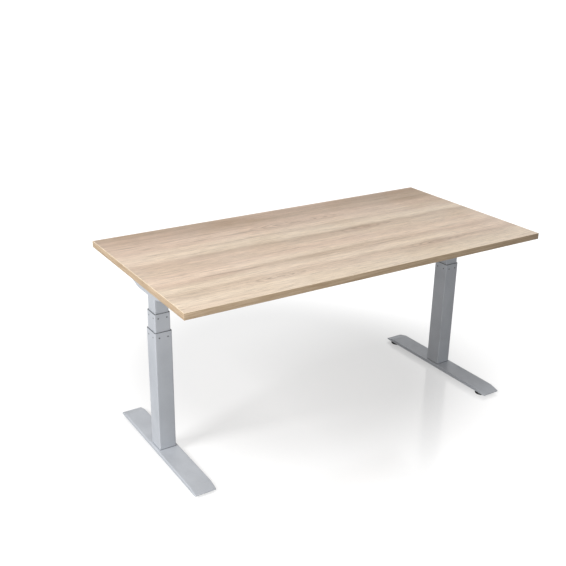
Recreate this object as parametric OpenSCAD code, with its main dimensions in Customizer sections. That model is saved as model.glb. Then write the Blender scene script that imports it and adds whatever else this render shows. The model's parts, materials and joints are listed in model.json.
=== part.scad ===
// Electric height-adjustable desk on two three-stage lifting columns.
// Millimetres, +Z up, front edge towards -Y, left side towards -X.
// Origin: on the floor, under the middle of the desktop.
// Rest position: sitting height.

/* [Desktop] */
// Length of the desktop, left to right
top_l = 1600; // [1500:10:1800]
// Depth of the desktop, front to back
top_d = 800; // [760:10:900]
// Thickness of the board
top_t = 25; // [19:1:30]
// Height of the top surface above the floor at rest
top_z = 758; // [750:1:765]
// Thickness of the edge strips
edge_t = 2; // [1:0.5:3]

/* [Lifting columns] */
// Distance from the middle of the desk to each column
col_x = 705; // [695:1:715]
// How far the columns stand behind the middle
col_y = 14; // [0:1:30]
// Width of the outer tube, left to right
outer_w = 68; // [64:1:70]
// Depth of the outer tube, front to back
outer_d = 74; // [70:1:78]
// Wall of the outer tube
outer_wall = 1.8; // [1.6:0.1:2]
// Wall of the middle and inner tubes
slim_wall = 1.6; // [1.5:0.1:1.8]
// Step in width from one tube to the next
stage_step = 7; // [6.8:0.1:7.2]
// Height of the outer tube's upper end above the floor
outer_top_z = 517; // [510:1:518]
// Height of the middle tube's upper end at rest
middle_top_z = 590; // [588:1:595]
// Length of the middle tube
middle_len = 480; // [440:1:482]
// Length of the inner tube
inner_len = 490; // [470:1:500]
// Diameter of the plastic studs that lock the glides
stud_d = 6; // [4:0.5:8]

/* [Spindle drive] */
// Diameter of the solid spindle
solid_d = 12; // [11:1:12]
// Diameter of the hollow spindle
hollow_d = 20; // [20:1:20]
// Running clearance around a spindle or shaft, on the radius
run_gap = 0.05; // [0.03:0.01:0.08]
// Teeth on the worm wheel
wheel_teeth = 20; // [16:1:24]
// Diameter of the motor
motor_d = 40; // [36:1:42]
// Length of the motor
motor_len = 60; // [50:1:70]

/* [Feet] */
// Length of each foot, front to back
foot_l = 672; // [600:2:700]
// Width of each foot
foot_w = 86; // [80:1:92]
// Height of the foot's pressed sheet
foot_h = 14.5; // [14:0.5:17]
// Gap between the sheet and the floor, levelling feet screwed in
foot_gap = 10.5; // [9:0.5:12]
// Sheet thickness of a foot
foot_wall = 3; // [2.5:0.5:3]
// Length of the sloping end of a foot
foot_slope = 42; // [36:1:50]
// Diameter of a levelling pad
pad_d = 50; // [44:1:54]

/* [Support under the desktop] */
// Length of a side arm
arm_l = 500; // [460:2:580]
// Width of a side arm
arm_w = 90; // [90:1:90]
// Depth of a side arm at the column
arm_h = 67; // [66:1:68]
// Depth of a side arm at its ends
arm_end_h = 18; // [14:1:24]
// Sheet thickness of a side arm
arm_wall = 2.5; // [2:0.5:2.5]
// Distance of each rail from the column axis, front and back
rail_y = 76; // [75:1:80]
// Width of a rail tube
rail_w = 35; // [30:1:36]
// Height of a rail tube
rail_h = 28; // [24:1:28]

/* [Controls] */
// Length of the control box
box_l = 250; // [220:2:280]
// Height of the control box
box_h = 38; // [34:1:40]
// Middle of the hand switch, right of the desk's middle
switch_x = 600; // [540:5:620]
// Distance of the hand switch behind the front edge
switch_inset = 82; // [70:1:120]

/* [Hidden] */
$fn = 48;
eps = 0.01;
fit_gap = 0.3;

steel_grey = [0.68, 0.71, 0.75];
bright_steel = [0.78, 0.79, 0.80];
cast_grey = [0.60, 0.61, 0.62];
bronze = [0.72, 0.56, 0.34];
black_plastic = [0.10, 0.10, 0.11];
white_plastic = [0.88, 0.88, 0.86];
wood_top = [0.85, 0.77, 0.68];
wood_edge = [0.63, 0.53, 0.41];

under_z = top_z - top_t;
web_z = under_z - arm_wall;
foot_top_z = foot_gap + foot_h;
foot_mid_y = 0;

middle_w = outer_w - stage_step;
middle_d = outer_d - stage_step;
inner_w = middle_w - stage_step;
inner_d = middle_d - stage_step;
outer_r = 4;
middle_r = 3.6;
inner_r = 3.2;
rim_t = 1.5;
outer_len = outer_top_z - foot_top_z;
middle_z = middle_top_z - middle_len;

housing_h = 50.5;
housing_z = web_z - housing_h;
inner_z = housing_z - inner_len;
worm_y = 23;
wheel_r = 17.8;
wheel_z = housing_z + 14;
wheel_t = 16;
worm_z = wheel_z + wheel_t / 2;

plate_t = 10;
post_top_z = 492;
post_r = 14;
post_hole_r = 12;
carrier_r = 18;
carrier_hole_r = 16;
carrier_plate_t = 4;
upper_nut_z = 596;
bearing_z = 574;
hollow_top_z = 582.7;
hollow_len = 380;
solid_z = 295;
spigot_h = 8;

leveller_x = 19;
leveller_y = 292;
stud_z = 20.5;

rail_mid_z = under_z - 27;
sleeve_gap = 0.5;
sleeve_wall = 2;
rail_wall = 2;
sleeve_l = 660;
rail_tip_x = 215;
plate_x = col_x - arm_w / 2;
// bolts through an arm's walls into the gear housing: wall, y, z
head_bolt_spots = [[-1, -24, worm_z - 12], [-1, -24, worm_z + 12], [-1, 38, worm_z - 12],
    [-1, 38, worm_z + 12], [1, -24, worm_z - 12], [1, -24, worm_z + 12]];

box_y = 14;
box_w = 92;
box_z = under_z - box_h;
box_tab_x = box_l / 2 + 8;
plug_z = under_z - 21;
switch_y = -top_d / 2 + switch_inset;
switch_ear_x = 38.5;
key_z = under_z - 9.5;
arm_screw_spots = [[-24, 94], [24, 94], [-24, -94], [24, -94], [-24, 172], [24, 172],
    [-24, -172], [24, -172], [0, 232], [0, -232]];

// Leads, clipped under the board: distance from the motor's boss, then
// from the box's end: along, sideways, up
lead_z = under_z - 4;
motor_lead_y = 24;
switch_lead_y = -7;
motor_exit = [[0, 0, 0], [11, 0, 0.5], [23, 1, 3], [36, 3, 9], [48, 5.5, 16.5],
    [61, 8, 23], [75, 10, 26.3], [94, 12, 27]];
box_entry = [[80, 0], [67, -1], [55, -4.5], [45, -9.5], [36, -14], [27, -16.4], [16, -17]];
motor_route = concat(
    [for (p = motor_exit) [-col_x + 116 + p[0], col_y + worm_y - p[1], worm_z + p[2]]],
    [for (x = [-470 : 40 : -230]) [x, motor_lead_y, lead_z]],
    [for (p = box_entry) [-box_l / 2 - p[0], motor_lead_y, lead_z + p[1]]]);
switch_exit = [[0, 59, -2], [0, 70, -1], [0, 86, 0], [0, 114, 0], [0, 143, 0],
    [0, 173, 0], [-1, 203, 0], [-3, 233, 0], [-7, 258, 0], [-14, 278, 0],
    [-24, 294, 0], [-38, 305, 0], [-55, 310, 0]];
switch_route = concat(
    [for (p = switch_exit) [switch_x + p[0], switch_y + p[1], lead_z + p[2]]],
    [for (x = [520 : -40 : 240]) [x, switch_lead_y, lead_z]],
    [for (p = box_entry) [box_l / 2 + p[0], switch_lead_y, lead_z + p[1]]]);
motor_clips = [-470, -260];
switch_clips = [[switch_x, -175], [440, switch_lead_y], [260, switch_lead_y]];

// ---------- shared shapes ----------

// Rectangle with round corners, centred, made of exact arcs
module round_rect(w, d, r) {
    square([w - 2 * r, d], center = true);
    square([w, d - 2 * r], center = true);
    for (x = [-1, 1], y = [-1, 1])
        translate([x * (w / 2 - r), y * (d / 2 - r)])
            circle(r = r);
}

// Upright rectangular tube with round corners
module box_tube(w, d, h, wall, r) {
    linear_extrude(h)
        difference() {
            round_rect(w, d, r);
            round_rect(w - 2 * wall, d - 2 * wall, max(r - wall, 0.8));
        }
}

// Sleeve between two tubes
module liner(ow, od, or, iw, id, ir, h) {
    linear_extrude(h)
        difference() {
            round_rect(ow, od, or);
            round_rect(iw, id, ir);
        }
}

// Places one column's pieces; in their own frame +X points inboard
module at_column(side) {
    if (side == "left")
        translate([-col_x, col_y, 0])
            children();
    else
        mirror([1, 0, 0])
            translate([-col_x, col_y, 0])
                children();
}

// Eight studs, two on each face of a w by d outline, from h0 to h1 outside it
module stud_ring(w, d, z, h0, h1) {
    for (s = [-1, 1]) {
        for (y = [-1, 1])
            translate([s * 17, y * (d / 2 + h0), z])
                rotate([-90 * y, 0, 0])
                    cylinder(h = h1 - h0, d = stud_d);
        for (x = [-1, 1])
            translate([x * (w / 2 + h0), s * 19, z])
                rotate([0, 90 * x, 0])
                    cylinder(h = h1 - h0, d = stud_d);
    }
}

// Matching round holes through a tube's four walls
module stud_holes(w, d, z) {
    for (s = [-1, 1]) {
        translate([s * 17, -d, z])
            rotate([-90, 0, 0])
                cylinder(h = 2 * d, d = stud_d + 0.1);
        translate([-w, s * 19, z])
            rotate([0, 90, 0])
                cylinder(h = 2 * w, d = stud_d + 0.1);
    }
}

// Hexagon socket button-head bolt, head up, shank down from z = 0
module button_bolt(d, len, head_d, head_h) {
    translate([0, 0, -len])
        cylinder(h = len + eps, d = d);
    difference() {
        rotate_extrude()
            polygon([[0, 0], [head_d / 2, 0], [head_d / 2, head_h * 0.35],
                [head_d * 0.40, head_h * 0.75], [head_d * 0.27, head_h], [0, head_h]]);
        translate([0, 0, head_h * 0.4])
            cylinder(h = head_h, d = d * 0.6, $fn = 6);
    }
}

// Countersunk-style wood screw driven upwards from z = 0
module wood_screw(d, len, head_d) {
    cylinder(h = len - 4, d = d);
    translate([0, 0, len - 4])
        cylinder(h = 4, d1 = d, d2 = 0.6);
    difference() {
        translate([0, 0, -2.6])
            rotate_extrude()
                polygon([[0, 0], [head_d * 0.34, 0], [head_d / 2, 1], [head_d / 2, 2.6], [0, 2.6]]);
        for (a = [0, 90])
            rotate([0, 0, a])
                translate([-2.2, -0.5, -2.7])
                    cube([4.4, 1, 1.5]);
    }
}

// Round tube swept through a list of points, eight or more sides
function unit(v) = v / norm(v);
function heading(p, i) =
    i == 0 ? unit(p[1] - p[0]) :
    i == len(p) - 1 ? unit(p[i] - p[i - 1]) :
    unit(unit(p[i + 1] - p[i]) + unit(p[i] - p[i - 1]));
function ring(c, t, r, n) =
    let (u = unit(cross(t, [0, 0.05, 1])), v = cross(t, u))
    [for (k = [0 : n - 1]) c + r * (cos(360 * k / n) * u + sin(360 * k / n) * v)];
module swept_lead(p, r, n) {
    pts = [for (i = [0 : len(p) - 1]) each ring(p[i], heading(p, i), r, n)];
    walls = [for (i = [0 : len(p) - 2], k = [0 : n - 1])
        [i * n + k, (i + 1) * n + k, (i + 1) * n + (k + 1) % n, i * n + (k + 1) % n]];
    first = [for (k = [0 : n - 1]) k];
    last = [for (k = [n - 1 : -1 : 0]) (len(p) - 1) * n + k];
    polyhedron(points = pts, faces = concat([first], walls, [last]));
}

// ---------- desktop ----------

module board_pilots() {
    for (s = ["left", "right"])
        at_column(s)
            for (p = arm_screw_spots)
                translate([p[0], p[1], under_z - 1])
                    cylinder(h = 17, d = 4.4);
    for (x = [-1, 1], y = [-22, 50])
        translate([x * box_tab_x, y, under_z - 1])
            cylinder(h = 15, d = 3.4);
    for (x = [-switch_ear_x, switch_ear_x])
        translate([switch_x + x, switch_y + 40, under_z - 1])
            cylinder(h = 13, d = 3.4);
}

module desktop() {
    color(wood_top)
        difference() {
            translate([-top_l / 2 + edge_t, -top_d / 2 + edge_t, under_z])
                cube([top_l - 2 * edge_t, top_d - 2 * edge_t, top_t]);
            board_pilots();
        }
}

// Four glued strips with a small round on both long arrises
module edge_strip(len) {
    rotate([90, 0, 90])
        linear_extrude(len, center = true)
            polygon([[0, 0], [edge_t - 0.8, 0], [edge_t, 0.8], [edge_t, top_t - 0.8],
                [edge_t - 0.8, top_t], [0, top_t]]);
}

module edge_strips() {
    color(wood_edge)
        translate([0, 0, under_z]) {
            for (a = [0, 180])
                rotate([0, 0, a]) {
                    translate([0, top_d / 2 - edge_t, 0])
                        edge_strip(top_l);
                    translate([-top_l / 2 + edge_t, 0, 0])
                        rotate([0, 0, 90])
                            edge_strip(top_d - 2 * edge_t);
                }
        }
}

// ---------- side arms and rails ----------

module arm_profile(inset) {
    flat = 71;
    half = arm_l / 2;
    polygon([[-half, 0], [-half, -arm_end_h + inset], [-flat, -arm_h + inset],
        [flat, -arm_h + inset], [half, -arm_end_h + inset], [half, 0]]);
}

module side_arm(side) {
    color(steel_grey)
        at_column(side)
            difference() {
                translate([0, 0, under_z])
                    rotate([90, 0, 90])
                        linear_extrude(arm_w, center = true)
                            arm_profile(0);
                translate([-arm_w / 2 + arm_wall, -arm_l, under_z - arm_h - 1])
                    cube([arm_w - 2 * arm_wall, 2 * arm_l, arm_h + 1 - arm_wall]);
                for (p = arm_screw_spots)
                    translate([p[0], p[1], under_z - 10])
                        cylinder(h = 20, d = 4.8);
                translate([0, worm_y, worm_z])
                    rotate([0, 90, 0])
                        cylinder(h = arm_w, d = motor_d + 3);
                for (p = head_bolt_spots)
                    translate([p[0] * (arm_w / 2 + 1), p[1], p[2]])
                        rotate([0, -90 * p[0], 0])
                            cylinder(h = arm_wall + 2, d = 6.2);
                for (y = [-1, 1], s = [-1, 1], z = [-14, 14])
                    translate([0, y * rail_y + s * 21, rail_mid_z + z])
                        rotate([0, 90, 0])
                            cylinder(h = arm_w, d = 6.2);
            }
}

module side_arm_left() { side_arm("left"); }
module side_arm_right() { side_arm("right"); }

// Rectangular tube lying along X, from x0 to x1
module rail_tube(x0, x1, w, h, wall) {
    translate([x0, 0, rail_mid_z])
        rotate([90, 0, 90])
            linear_extrude(x1 - x0)
                difference() {
                    round_rect(w, h, 3);
                    round_rect(w - 2 * wall, h - 2 * wall, 1.2);
                }
}

module rail_ends() {
    color(steel_grey)
        for (y = [-1, 1])
            translate([0, col_y + y * rail_y, 0]) {
                rail_tube(-plate_x + 4 - eps, -rail_tip_x, rail_w, rail_h, rail_wall);
                difference() {
                    translate([-plate_x, -21 - 7, rail_mid_z - 21])
                        cube([4, 56, 42]);
                    for (z = [-14, 14], x = [-1, 1])
                        translate([-plate_x - 1, x * 21, rail_mid_z + z])
                            rotate([0, 90, 0])
                                cylinder(h = 6, d = 6);
                }
            }
}

module rail_ends_left() { rail_ends(); }
module rail_ends_right() { mirror([1, 0, 0]) rail_ends(); }

module rail_sleeves() {
    w = rail_w + 2 * sleeve_gap + 2 * sleeve_wall;
    h = rail_h + 2 * sleeve_gap + 2 * sleeve_wall;
    color(steel_grey)
        for (y = [-1, 1])
            difference() {
                translate([0, col_y + y * rail_y, 0])
                    rail_tube(-sleeve_l / 2, sleeve_l / 2, w, h, sleeve_wall);
                for (x = [-300, -245, 245, 300])
                    translate([x, col_y + y * rail_y, rail_mid_z - h])
                        cylinder(h = h, d = 6);
            }
}

module rail_screws() {
    color(bright_steel)
        for (y = [-1, 1], x = [-300, -245, 245, 300])
            translate([x, col_y + y * rail_y, rail_mid_z - rail_h / 2])
                translate([0, 0, -sleeve_gap - sleeve_wall])
                    rotate([180, 0, 0])
                        button_bolt(6, sleeve_gap + sleeve_wall, 11, 3.3);
}

// Bolts from inside each arm's channel into the rails' end plates
module rail_bolts() {
    color(bright_steel)
        for (side = ["left", "right"])
            at_column(side)
                for (y = [-1, 1], s = [-1, 1], z = [-14, 14])
                    translate([arm_w / 2 - arm_wall, y * rail_y + s * 21, rail_mid_z + z])
                        rotate([0, -90, 0])
                            button_bolt(6, arm_wall + 5, 11, 3.3);
}

module arm_screws() {
    color(bright_steel)
        for (side = ["left", "right"])
            at_column(side)
                for (p = arm_screw_spots)
                    translate([p[0], p[1], web_z])
                        wood_screw(4.4, 17, 9);
}

// ---------- column heads ----------

module gear_housing(side) {
    w = arm_w - 2 * arm_wall;
    color(cast_grey)
        at_column(side)
            difference() {
                union() {
                    translate([-w / 2, -34, housing_z])
                        cube([w, 82, housing_h]);
                    translate([0, 0, housing_z - spigot_h])
                        linear_extrude(spigot_h + eps)
                            round_rect(inner_w - 2 * slim_wall - 0.2,
                                inner_d - 2 * slim_wall - 0.2, inner_r - slim_wall);
                }
                // spindle, thrust bearing and worm wheel
                translate([0, 0, housing_z - 13])
                    cylinder(h = 30, d = 15);
                translate([0, 0, housing_z + 2])
                    cylinder(h = 8, d = 28);
                translate([0, 0, wheel_z - 1])
                    cylinder(h = wheel_t + 2, r = wheel_r + 1.2);
                translate([0, 0, wheel_z])
                    cylinder(h = wheel_t + 9, r = 5 + run_gap);
                // worm, its end bearing and the motor's seat
                translate([-30, worm_y, worm_z])
                    rotate([0, 90, 0])
                        cylinder(h = w, d = 13);
                translate([-40, worm_y, worm_z])
                    rotate([0, 90, 0])
                        cylinder(h = 15, r = 3 + run_gap);
                for (p = head_bolt_spots)
                    translate([p[0] * (w / 2 + 1), p[1], p[2]])
                        rotate([0, -90 * p[0], 0])
                            cylinder(h = 13, d = 6);
            }
}

module gear_housing_left() { gear_housing("left"); }
module gear_housing_right() { gear_housing("right"); }

// Deep-groove bearing: two rings and a closed shield between them
module bearing(od, id, h) {
    difference() {
        cylinder(h = h, d = od);
        translate([0, 0, -1])
            cylinder(h = h + 2, r = id / 2 + run_gap);
        for (z = [-1, h - 0.4])
            translate([0, 0, z])
                difference() {
                    cylinder(h = 1.4, d = od - 3);
                    translate([0, 0, -1])
                        cylinder(h = 4, d = id + 3);
                }
    }
}

module head_bearings() {
    color(bright_steel)
        for (side = ["left", "right"])
            at_column(side)
                translate([0, 0, housing_z + 2])
                    bearing(28, solid_d, 8);
}

module head_bolts() {
    color(bright_steel)
        for (side = ["left", "right"])
            at_column(side)
                for (p = head_bolt_spots)
                    translate([p[0] * arm_w / 2, p[1], p[2]])
                        rotate([0, 90 * p[0], 0])
                            button_bolt(6, arm_wall + 10, 11, 3.3);
}

// Geared motor lying along X, with a finned end cap and a lead boss
module motor(side) {
    x0 = arm_w / 2 - arm_wall;
    at_column(side)
        translate([x0, worm_y, worm_z])
            rotate([0, 90, 0]) {
                color(bright_steel)
                    difference() {
                        union() {
                            cylinder(h = motor_len, d = motor_d);
                            translate([0, 0, 12])
                                cylinder(h = 3, d = motor_d + 1.6);
                        }
                        translate([0, 0, -1])
                            cylinder(h = 9, r = 3 + run_gap);
                    }
                color(black_plastic)
                    difference() {
                        union() {
                            translate([0, 0, motor_len])
                                cylinder(h = 8, d = motor_d - 2);
                            translate([0, 0, motor_len + 8 - eps])
                                cylinder(h = 5.5, d = 11);
                        }
                        for (a = [30 : 60 : 330])
                            rotate([0, 0, a])
                                translate([13, -1.5, motor_len + 5])
                                    cube([10, 3, 5]);
                    }
            }
}

module motor_left() { motor("left"); }
module motor_right() { motor("right"); }

// ---------- telescopic tubes ----------

module inner_tube(side) {
    color(steel_grey)
        at_column(side)
            difference() {
                translate([0, 0, inner_z])
                    box_tube(inner_w, inner_d, inner_len, slim_wall, inner_r);
                stud_holes(inner_w, inner_d, inner_z + 20);
            }
}

module inner_tube_left() { inner_tube("left"); }
module inner_tube_right() { inner_tube("right"); }

// Plastic sleeves round the lower end of each inner tube
module inner_glides() {
    w = middle_w - 2 * slim_wall - 2 * fit_gap;
    d = middle_d - 2 * slim_wall - 2 * fit_gap;
    color(black_plastic)
        for (side = ["left", "right"])
            at_column(side) {
                translate([0, 0, inner_z])
                    liner(w, d, inner_r + 0.6, inner_w, inner_d, inner_r, 55);
                stud_ring(inner_w, inner_d, inner_z + 20, -slim_wall, 0.5);
            }
}

module middle_tube(side) {
    color(steel_grey)
        at_column(side)
            difference() {
                translate([0, 0, middle_z])
                    box_tube(middle_w, middle_d, middle_len, slim_wall, middle_r);
                stud_holes(middle_w, middle_d, middle_top_z - 17);
                stud_holes(middle_w, middle_d, middle_z + 20);
            }
}

module middle_tube_left() { middle_tube("left"); }
module middle_tube_right() { middle_tube("right"); }

// Mouth sleeve for the inner tube, with a rim, and a sleeve round the lower end
module middle_glides(side) {
    mw = middle_w - 2 * slim_wall;
    md = middle_d - 2 * slim_wall;
    ow = outer_w - 2 * outer_wall - 2 * fit_gap;
    od = outer_d - 2 * outer_wall - 2 * fit_gap;
    iw = inner_w + 2 * fit_gap;
    id = inner_d + 2 * fit_gap;
    color(black_plastic)
        at_column(side) {
            translate([0, 0, middle_top_z - 60])
                liner(mw, md, middle_r - slim_wall, iw, id, inner_r, 60 + eps);
            translate([0, 0, middle_top_z])
                liner(middle_w, middle_d, middle_r, iw, id, inner_r, rim_t);
            stud_ring(mw, md, middle_top_z - 17, -0.5, slim_wall - 0.1);
            translate([0, 0, middle_z])
                liner(ow, od, middle_r + 0.6, middle_w, middle_d, middle_r, 55);
            stud_ring(middle_w, middle_d, middle_z + 20, -slim_wall, 0.5);
        }
}

module middle_glides_left() { middle_glides("left"); }
module middle_glides_right() { middle_glides("right"); }

module outer_tube(side) {
    color(steel_grey)
        at_column(side)
            difference() {
                translate([0, 0, foot_top_z])
                    box_tube(outer_w, outer_d, outer_len, outer_wall, outer_r);
                stud_holes(outer_w, outer_d, outer_top_z - 20);
            }
}

module outer_tube_left() { outer_tube("left"); }
module outer_tube_right() { outer_tube("right"); }

// Mouth sleeves for the middle tubes, with a rim
module outer_glides() {
    ow = outer_w - 2 * outer_wall;
    od = outer_d - 2 * outer_wall;
    iw = middle_w + 2 * fit_gap;
    id = middle_d + 2 * fit_gap;
    color(black_plastic)
        for (side = ["left", "right"])
            at_column(side) {
                translate([0, 0, outer_top_z - 60])
                    liner(ow, od, outer_r - outer_wall, iw, id, middle_r, 60 + eps);
                translate([0, 0, outer_top_z])
                    liner(outer_w, outer_d, outer_r, iw, id, middle_r, rim_t);
                stud_ring(ow, od, outer_top_z - 20, -0.5, outer_wall + 0.4);
            }
}

// ---------- spindle drive ----------

// Plate in the middle tube's lower end with a post up to the upper nut
module nut_carrier(side) {
    w = middle_w - 2 * slim_wall;
    d = middle_d - 2 * slim_wall;
    color(bright_steel)
        at_column(side)
            difference() {
                union() {
                    translate([0, 0, middle_z])
                        linear_extrude(carrier_plate_t)
                            round_rect(w, d, middle_r - slim_wall);
                    translate([0, 0, middle_z])
                        cylinder(h = upper_nut_z - middle_z, r = carrier_r);
                }
                translate([0, 0, middle_z - 1])
                    cylinder(h = upper_nut_z, r = carrier_hole_r);
            }
}

module nut_carrier_left() { nut_carrier("left"); }
module nut_carrier_right() { nut_carrier("right"); }

module upper_nut(side) {
    color(bronze)
        at_column(side)
            difference() {
                union() {
                    translate([0, 0, upper_nut_z])
                        cylinder(h = 6, r = carrier_r);
                    translate([0, 0, upper_nut_z - 11])
                        cylinder(h = 11 + eps, r = carrier_hole_r);
                }
                translate([0, 0, upper_nut_z - 12])
                    cylinder(h = 20, r = solid_d / 2 + run_gap);
            }
}

module upper_nut_left() { upper_nut("left"); }
module upper_nut_right() { upper_nut("right"); }

module spindle_bearing(side) {
    color(bright_steel)
        at_column(side)
            translate([0, 0, bearing_z])
                bearing(2 * carrier_hole_r, hollow_d, 7);
}

module spindle_bearing_left() { spindle_bearing("left"); }
module spindle_bearing_right() { spindle_bearing("right"); }

// Solid spindle: turns in the gear housing, screws through the upper nut,
// and its two keys slide in the hollow spindle
module solid_spindle(side) {
    color(bright_steel)
        at_column(side) {
            translate([0, 0, solid_z])
                cylinder(h = wheel_z - 1.5 - solid_z, d = solid_d);
            translate([0, 0, wheel_z - 1.5])
                cylinder(h = wheel_t + 9, d = 10);
            translate([0, 0, housing_z - 1.5])
                cylinder(h = 3.2, d = solid_d + 2);
            translate([-7, -1.9, solid_z])
                cube([14, 3.8, 24]);
        }
}

module solid_spindle_left() { solid_spindle("left"); }
module solid_spindle_right() { solid_spindle("right"); }

module worm_wheel(side) {
    n = wheel_teeth;
    outline = [for (i = [0 : n - 1], q = [[-5.2, -2.2], [-2.4, 0], [2.4, 0], [5.2, -2.2]])
        (wheel_r + q[1]) * [cos((i + 0.5) * 360 / n + q[0]), sin((i + 0.5) * 360 / n + q[0])]];
    color(bronze)
        at_column(side)
            difference() {
                union() {
                    translate([0, 0, wheel_z])
                        linear_extrude(wheel_t)
                            polygon(outline);
                    translate([0, 0, wheel_z - 0.7])
                        cylinder(h = 1, d = 17);
                }
                translate([0, 0, wheel_z - 2])
                    cylinder(h = wheel_t + 4, d = 10);
            }
}

module worm_wheel_left() { worm_wheel("left"); }
module worm_wheel_right() { worm_wheel("right"); }

// Worm on the motor's shaft, with ring-shaped threads
module worm(side) {
    pitch = 5.6;
    thread = [for (i = [-3 : 2], q = [[0, 3.4], [1.6, 5], [3, 5], [4.6, 3.4]])
        [q[1], i * pitch + q[0]]];
    color(bright_steel)
        at_column(side)
            translate([0, worm_y, worm_z])
                rotate([0, 90, 0]) {
                    translate([0, 0, -39])
                        cylinder(h = arm_w / 2 - arm_wall + 39 + 7, r = 3);
                    rotate_extrude()
                        polygon(concat([[0, -3 * pitch]], thread, [[3.4, 3 * pitch], [0, 3 * pitch]]));
                }
}

module worm_left() { worm("left"); }
module worm_right() { worm("right"); }

// Hollow spindle: hangs in the carrier's bearing and screws through the lower nut
module hollow_spindle(side) {
    color(bright_steel)
        at_column(side)
            difference() {
                union() {
                    translate([0, 0, hollow_top_z - hollow_len])
                        cylinder(h = hollow_len, d = hollow_d);
                    translate([0, 0, bearing_z - fit_gap - 3])
                        cylinder(h = 3, d = hollow_d + 4);
                    translate([0, 0, bearing_z + 7 + fit_gap])
                        cylinder(h = hollow_top_z - bearing_z - 7 - fit_gap, d = hollow_d + 4);
                }
                translate([0, 0, hollow_top_z - hollow_len - 1])
                    cylinder(h = hollow_len + 2, d = solid_d + 1);
                translate([-7.2, -2, hollow_top_z - hollow_len - 1])
                    cube([14.4, 4, hollow_len + 2]);
            }
}

module hollow_spindle_left() { hollow_spindle("left"); }
module hollow_spindle_right() { hollow_spindle("right"); }

// Base plate in the outer tube's lower end, with a post up to the lower nut
module nut_post(side) {
    w = outer_w - 2 * outer_wall;
    d = outer_d - 2 * outer_wall;
    color(bright_steel)
        at_column(side)
            difference() {
                union() {
                    translate([0, 0, foot_top_z])
                        linear_extrude(plate_t)
                            round_rect(w, d, outer_r - outer_wall);
                    translate([0, 0, foot_top_z + plate_t - eps])
                        cylinder(h = post_top_z - foot_top_z - plate_t + eps, r = post_r);
                }
                translate([0, 0, foot_top_z + plate_t])
                    cylinder(h = post_top_z, r = post_hole_r);
                for (x = [-22, 22], y = [-24, 24])
                    translate([x, y, foot_top_z - 1])
                        cylinder(h = plate_t + 2, d = 8);
            }
}

module nut_post_left() { nut_post("left"); }
module nut_post_right() { nut_post("right"); }

module lower_nuts() {
    color(bronze)
        for (side = ["left", "right"])
            at_column(side)
                difference() {
                    union() {
                        translate([0, 0, post_top_z])
                            cylinder(h = 5, r = post_r);
                        translate([0, 0, post_top_z - 20])
                            cylinder(h = 20 + eps, r = post_hole_r);
                    }
                    translate([0, 0, post_top_z - 21])
                        cylinder(h = 30, r = hollow_d / 2 + run_gap);
                }
}

// ---------- feet ----------

module foot_side_view(inset) {
    half = foot_l / 2 - inset;
    flat = foot_l / 2 - foot_slope;
    tip = foot_gap + 3 - inset;
    polygon([[-half, foot_gap - (inset > 0 ? 1 : 0)], [-half, tip], [-flat, foot_top_z - inset],
        [flat, foot_top_z - inset], [half, tip], [half, foot_gap - (inset > 0 ? 1 : 0)]]);
}

// Inverted trough: side view crossed with a round-cornered plan
module foot_body(inset) {
    intersection() {
        rotate([90, 0, 90])
            linear_extrude(foot_w + 10, center = true)
                foot_side_view(inset);
        linear_extrude(foot_top_z + 5)
            round_rect(foot_w - 2 * inset, foot_l - 2 * inset, 4.5 - inset);
    }
}

module foot(side) {
    color(steel_grey)
        at_column(side)
            translate([0, foot_mid_y - col_y, 0])
                difference() {
                    union() {
                        difference() {
                            foot_body(0);
                            foot_body(foot_wall);
                        }
                        // welded threaded sleeves for the levelling feet
                        for (y = [-leveller_y, leveller_y])
                            translate([leveller_x, y, foot_gap + 3])
                                cylinder(h = foot_h - foot_wall - 2.5, d = 14, $fn = 6);
                    }
                    for (y = [-leveller_y, leveller_y])
                        translate([leveller_x, y, foot_gap - 1])
                            cylinder(h = stud_z + 0.5 - foot_gap + 1, r = 4 + run_gap);
                    for (x = [-22, 22], y = [-24, 24])
                        translate([x, y + col_y - foot_mid_y, foot_gap])
                            cylinder(h = foot_h + 2, d = 8.4);
                }
}

module foot_left() { foot("left"); }
module foot_right() { foot("right"); }

module foot_bolts() {
    color(bright_steel)
        for (side = ["left", "right"])
            at_column(side)
                for (x = [-22, 22], y = [-24, 24])
                    translate([x, y, foot_top_z - foot_wall])
                        rotate([180, 0, 0])
                            button_bolt(8, foot_wall + plate_t - 1, 14, 4.4);
}

// Levelling foot: ribbed pad with a threaded stud
module leveller(side, dir) {
    at_column(side)
        translate([leveller_x, foot_mid_y - col_y + dir * leveller_y, 0]) {
            color(black_plastic)
                difference() {
                    rotate_extrude()
                        polygon([[0, 0], [pad_d / 2 - 1, 0], [pad_d / 2, 1], [pad_d / 2, 5.6],
                            [pad_d / 2 - 1.2, 6.8], [9, foot_gap - 0.6], [0, foot_gap - 0.6]]);
                    for (a = [0 : 20 : 340])
                        rotate([0, 0, a])
                            translate([pad_d / 2 + 0.9, 0, 1.4])
                                cylinder(h = 8, d = 3.6);
                }
            color(bright_steel)
                translate([0, 0, foot_gap - 0.6 - eps])
                    cylinder(h = stud_z - foot_gap + 0.6, r = 4);
        }
}

module leveller_front_left() { leveller("left", -1); }
module leveller_rear_left() { leveller("left", 1); }
module leveller_front_right() { leveller("right", -1); }
module leveller_rear_right() { leveller("right", 1); }

// ---------- electrics ----------

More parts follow.
